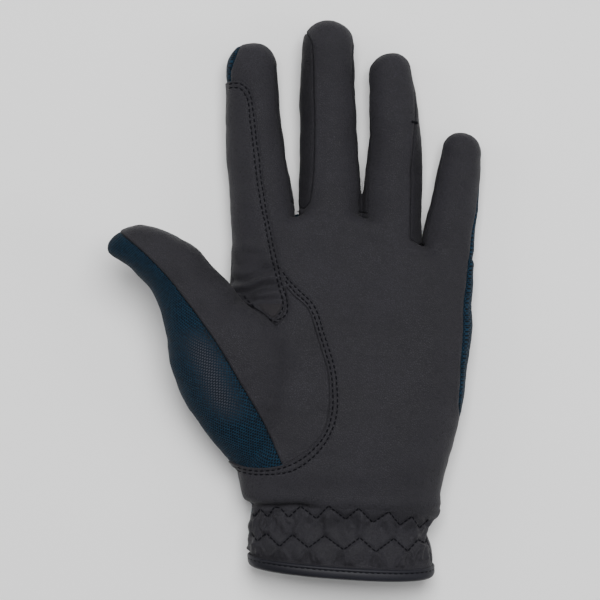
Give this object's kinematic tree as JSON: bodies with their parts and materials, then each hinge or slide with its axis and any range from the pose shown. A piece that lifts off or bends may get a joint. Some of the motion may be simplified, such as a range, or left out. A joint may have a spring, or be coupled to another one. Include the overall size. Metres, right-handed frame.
{
  "type": "horse riding glove",
  "caption": "Left-hand full-finger riding glove with a leather palm, a mesh back, an overlaid index patch, a gathered wrist and a bound hem.",
  "frame": {"origin": "on the surface that the glove's back rests on, under the middle of the palm", "axes": "+Y to the fingertips, +X to the little finger, +Z out of the palm"},
  "size_m": [0.1468, 0.2204, 0.0419],
  "materials": {
    "palm_leather": "matt grain",
    "strip_leather": "matt grain",
    "back_mesh": "knitted mesh",
    "binding": "smooth"
  },
  "bodies": {
    "root": {"palm_panel": "palm_leather", "back_panel": "back_mesh", "fourchette_index_middle": "strip_leather", "fourchette_middle_ring": "strip_leather", "fourchette_ring_little": "strip_leather", "thumb_leather_panel": "palm_leather", "thumb_mesh_panel": "back_mesh", "index_patch": "palm_leather", "wrist_band": "palm_leather", "hem_binding": "binding"}
  },
  "joints": []
}
